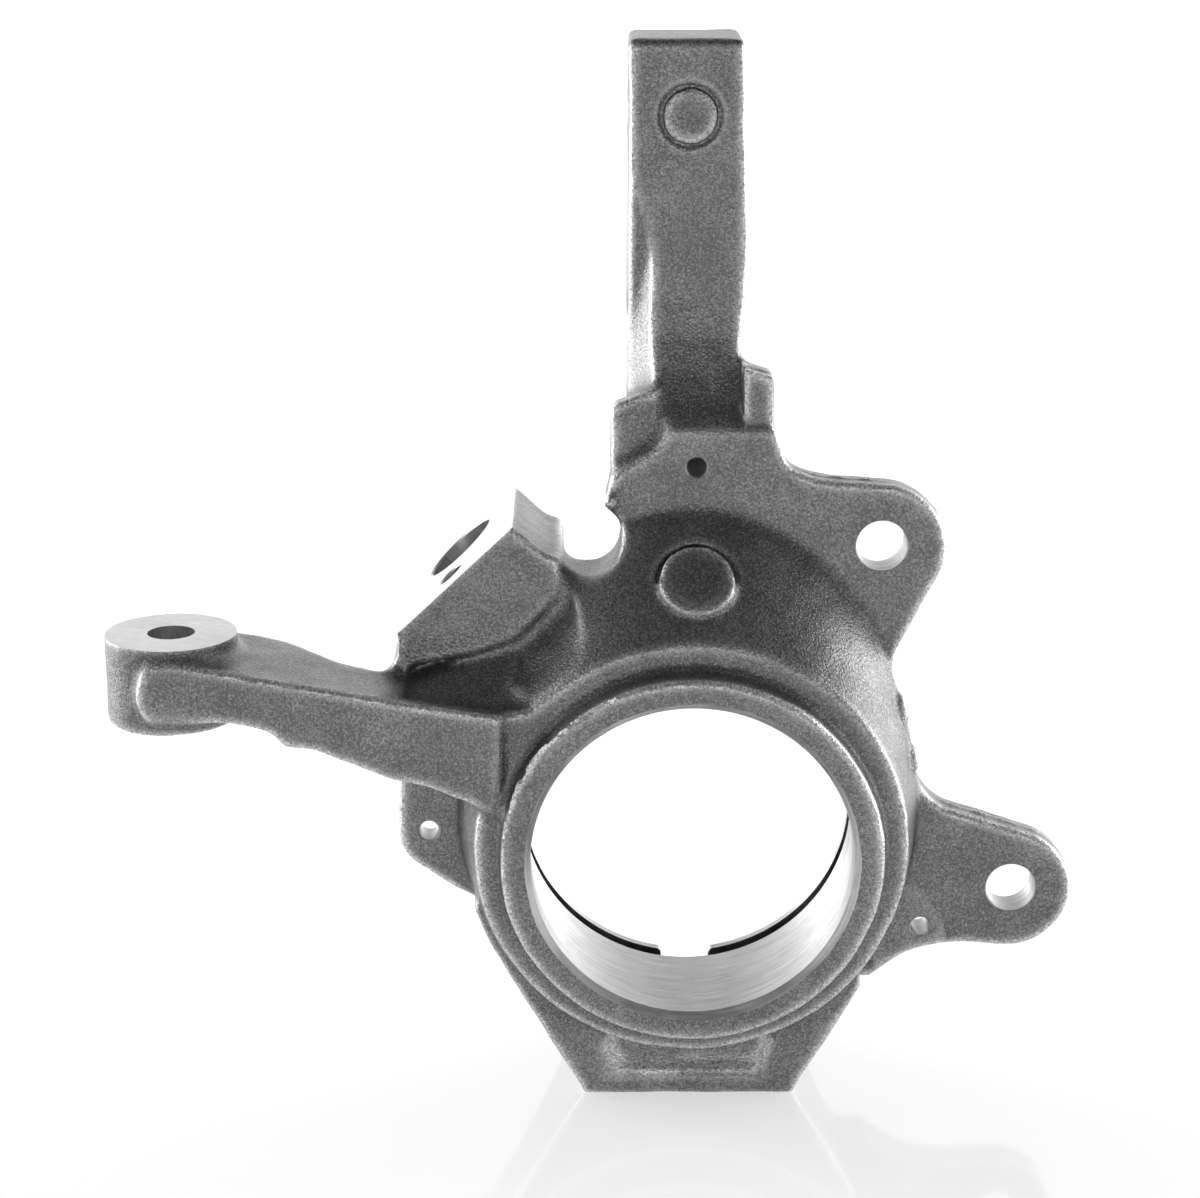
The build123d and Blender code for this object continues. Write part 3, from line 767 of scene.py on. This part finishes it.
def grey_ramp(nodes, links, value, stops):
    made = node(nodes, "ShaderNodeValToRGB")
    ramp = made.color_ramp
    while len(ramp.elements) < len(stops):
        ramp.elements.new(0.5)
    for element, (place, grey) in zip(ramp.elements, stops):
        element.position = place
        element.color = (grey, grey, grey, 1)
    links.new(value, made.inputs["Fac"])
    return made.outputs["Color"]


def bump(nodes, links, height, strength, distance, normal=None):
    made = node(nodes, "ShaderNodeBump")
    made.inputs["Strength"].default_value = strength
    made.inputs["Distance"].default_value = distance
    links.new(height, made.inputs["Height"])
    if normal is not None:
        links.new(normal, made.inputs["Normal"])
    return made.outputs["Normal"]


def cast_material():
    """Blasted cast iron: grey with fine sand grain, brighter on convex edges, where a painted highlight
    joins rubbed wear, and with painted shade in hollows.
    """
    material, nodes, links, shader = new_material("cast_iron")
    place = node(nodes, "ShaderNodeTexCoord").outputs["Object"]
    speck = noise(nodes, links, place, 2500, 2.0, 0.6)
    grain = noise(nodes, links, place, 1700, 2.0, 0.6)
    cloud = noise(nodes, links, place, 60, 3.0, 0.6)
    pits = node(nodes, "ShaderNodeTexVoronoi", feature="SMOOTH_F1")
    pits.inputs["Scale"].default_value = 1250
    pits.inputs["Smoothness"].default_value = 0.35
    links.new(place, pits.inputs["Vector"])
    cells = remap(nodes, links, pits.outputs["Distance"], 0.15, 0.75, 0.62, 0.38)
    mixed = math_node(nodes, links, "ADD", math_node(nodes, links, "MULTIPLY", speck, 0.6),
                      math_node(nodes, links, "MULTIPLY", cells, 0.4))
    mixed = math_node(nodes, links, "ADD", mixed, remap(nodes, links, cloud, 0.35, 0.65, -0.03, 0.03))
    # The edge attribute carries a painted highlight on convex edges (partly rubbed wear), painted shade
    # in hollows, and the painted patches on the pocket ledge and tongue
    edge = node(nodes, "ShaderNodeAttribute", attribute_name="edge").outputs["Fac"]
    wear_and_painted_light = math_node(nodes, links, "MULTIPLY", edge, remap(nodes, links, grain, 0.35, 0.65, 0.25, 1.1))
    value = math_node(nodes, links, "ADD", mixed, math_node(nodes, links, "MULTIPLY", wear_and_painted_light, 0.36))
    colour = grey_ramp(nodes, links, value,
                       ((0.36, 0.12), (0.48, 0.25), (0.60, 0.37), (0.72, 0.60), (0.92, 0.85)))
    links.new(colour, shader.inputs["Base Color"])
    links.new(remap(nodes, links, speck, 0.35, 0.65, 0.36, 0.50), shader.inputs["Roughness"])
    shader.inputs["Metallic"].default_value = 0.85
    rough = bump(nodes, links, grain, 0.6, 0.00030)
    links.new(bump(nodes, links, cells, 0.6, 0.00028, rough), shader.inputs["Normal"])
    return material


def machined_material(name, stretch, fineness, greys, brushed=0.0):
    """Machined iron with tool lines and, where brushed, a gloss drawn out round the bore."""
    material, nodes, links, shader = new_material(name)
    place = node(nodes, "ShaderNodeTexCoord").outputs["Object"]
    split = node(nodes, "ShaderNodeSeparateXYZ")
    links.new(place, split.inputs["Vector"])
    join = node(nodes, "ShaderNodeCombineXYZ")
    for letter in "XYZ":
        factor = 1.0 if letter == "Y" else stretch
        links.new(math_node(nodes, links, "MULTIPLY", split.outputs[letter], factor), join.inputs[letter])
    lines = noise(nodes, links, join.outputs["Vector"], fineness, 3.0, 0.6)
    cloud = noise(nodes, links, place, 75, 3.0, 0.6)
    value = math_node(nodes, links, "ADD", math_node(nodes, links, "MULTIPLY", lines, 0.5),
                      math_node(nodes, links, "MULTIPLY", cloud, 0.5))
    stops = tuple(zip((0.34, 0.46, 0.56, 0.66), greys))
    links.new(grey_ramp(nodes, links, value, stops), shader.inputs["Base Color"])
    shader.inputs["Metallic"].default_value = 0.9
    links.new(remap(nodes, links, cloud, 0.35, 0.65, 0.34, 0.48), shader.inputs["Roughness"])
    links.new(bump(nodes, links, lines, 0.4, 0.00018), shader.inputs["Normal"])
    if brushed:
        tangent = node(nodes, "ShaderNodeTangent", direction_type="RADIAL", axis="Y")
        links.new(tangent.outputs["Tangent"], shader.inputs["Tangent"])
        shader.inputs["Anisotropic"].default_value = brushed
        shader.inputs["Anisotropic Rotation"].default_value = 0.25
    return material


# Build the casting

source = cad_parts[NODE]
cast = cast_material()
bored = machined_material("machined_round", 0.04, 1800, (0.34, 0.50, 0.64, 0.74), brushed=0.8)
milled = machined_material("machined_flat", 0.12, 2600, (0.40, 0.50, 0.60, 0.66))
# The groove's machined iron is painted dark: painted shade deep in the snap ring groove
painted_shade_groove = machined_material("groove_painted_shade", 0.04, 1800, (0.10, 0.15, 0.22, 0.28))

solid_points, solid_triangles = mesh_arrays(source)
grid, field, edges = cast_field(solid_points, solid_triangles)
casting = cast_object(grid, field)
casting.data.materials.append(cast)
cut_away(casting, milling_cuts(milled))
cut_away(casting, [notch_cut(bored)])
cut_away(casting, hole_cuts(bored))
cut_away(casting, groove_cut(painted_shade_groove))

mesh = casting.data
for polygon in mesh.polygons:
    polygon.use_smooth = True
mesh.set_sharp_from_angle(angle=math.radians(SMOOTH_ANGLE))
co = np.zeros(len(mesh.vertices) * 3, np.float32)
mesh.vertices.foreach_get("co", co)
# The 'edge' attribute holds painted light: a painted highlight on convex edges (partly rubbed wear),
# painted shade in hollows, and the painted patches on the pocket ledge and tongue
curvature = sample(grid, edges, co.reshape(-1, 3) / MM)
brightness = np.clip((curvature - EDGE_START) / EDGE_SPAN, EDGE_DULLEST, 1)
attribute = mesh.attributes.new("edge", "FLOAT", "POINT")
attribute.data.foreach_set("value", brightness.astype(np.float32))
casting.name = "knuckle_surface"

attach(casting, "root")
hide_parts(NODE)


# Studio

def is_background_ray(nodes, links):
    ray = node(nodes, "ShaderNodeLightPath").outputs
    seen = math_node(nodes, links, "MAXIMUM", ray["Is Camera Ray"], ray["Is Glossy Ray"])
    return math_node(nodes, links, "MAXIMUM", seen, ray["Is Transmission Ray"])


# The room is white round the horizon and dark overhead and behind the camera
world = bpy.data.worlds.new("studio")
bpy.context.scene.world = world
world.use_nodes = True
nodes, links = world.node_tree.nodes, world.node_tree.links
nodes.clear()
direction = node(nodes, "ShaderNodeTexCoord").outputs["Generated"]
parts = node(nodes, "ShaderNodeSeparateXYZ")
links.new(direction, parts.inputs["Vector"])
rise = grey_ramp(nodes, links, remap(nodes, links, parts.outputs["Z"], -1, 1, 0, 1),
                 ((0.0, 1.0), (0.64, 1.0), (0.84, 0.20), (1.0, 0.16)))
front = grey_ramp(nodes, links, remap(nodes, links, parts.outputs["Y"], -1, 1, 0, 1),
                  ((0.0, 0.22), (0.30, 0.25), (0.58, 0.85), (0.8, 1.0)))
glow = math_node(nodes, links, "MULTIPLY", rise, front)
dome = node(nodes, "ShaderNodeBackground")
links.new(glow, dome.inputs["Color"])
dome.inputs["Strength"].default_value = DOME_STRENGTH
links.new(dome.outputs["Background"], node(nodes, "ShaderNodeOutputWorld").inputs["Surface"])

work = bmesh.new()
bmesh.ops.create_grid(work, x_segments=1, y_segments=1, size=FLOOR_SIZE)
floor_mesh = bpy.data.meshes.new("floor")
work.to_mesh(floor_mesh)
work.free()
floor = bpy.data.objects.new("floor", floor_mesh)
floor.location.z = FOOT_LEVEL * MM
bpy.context.scene.collection.objects.link(floor)
floor_material, nodes, links, shader = new_material("floor")
shader.inputs["Base Color"].default_value = (FLOOR_GREY, FLOOR_GREY, FLOOR_GREY, 1)
shader.inputs["Roughness"].default_value = FLOOR_ROUGHNESS
white = node(nodes, "ShaderNodeEmission")
glow = math_node(nodes, links, "MULTIPLY", is_background_ray(nodes, links), FLOOR_GLOW)
links.new(glow, white.inputs["Strength"])
both = node(nodes, "ShaderNodeAddShader")
links.new(shader.outputs["BSDF"], both.inputs[0])
links.new(white.outputs["Emission"], both.inputs[1])
links.new(both.outputs["Shader"], nodes["Material Output"].inputs["Surface"])
floor_mesh.materials.append(floor_material)


def lamp(name, place, aim, width, tall, power):
    data = bpy.data.lights.new(name, "AREA")
    data.shape = "RECTANGLE"
    data.size, data.size_y, data.energy = width, tall, power
    obj = bpy.data.objects.new(name, data)
    obj.location = place
    obj.rotation_euler = (Vector(aim) - Vector(place)).to_track_quat("-Z", "Y").to_euler()
    bpy.context.scene.collection.objects.link(obj)


lamp("left", (-1.4, 0.5, 0.3), (0, 0, 0.05), 1.0, 0.8, 11)
lamp("right", (1.4, 0.5, 0.3), (0, 0, 0.03), 1.0, 0.8, 11)
lamp("low_front", (0.0, -1.4, 0.05), (0, 0, 0.02), 1.4, 0.2, 2.0)

camera_data = bpy.data.cameras.new("camera")
camera_data.sensor_width = CAMERA_SENSOR
camera_data.lens = CAMERA_LENS
camera_data.clip_start = 0.01
camera = bpy.data.objects.new("camera", camera_data)
bpy.context.scene.collection.objects.link(camera)
turn = math.radians(CAMERA_TURN)
back = Vector(CAMERA_BACK)
right = Vector((math.cos(turn), math.sin(turn), 0))
up = back.cross(right)
rotation = Matrix((right, up, back)).transposed().to_4x4()
camera.matrix_world = Matrix.Translation(CAMERA_PLACE) @ rotation
bpy.context.scene.camera = camera
bpy.context.scene.view_settings.view_transform = "Standard"
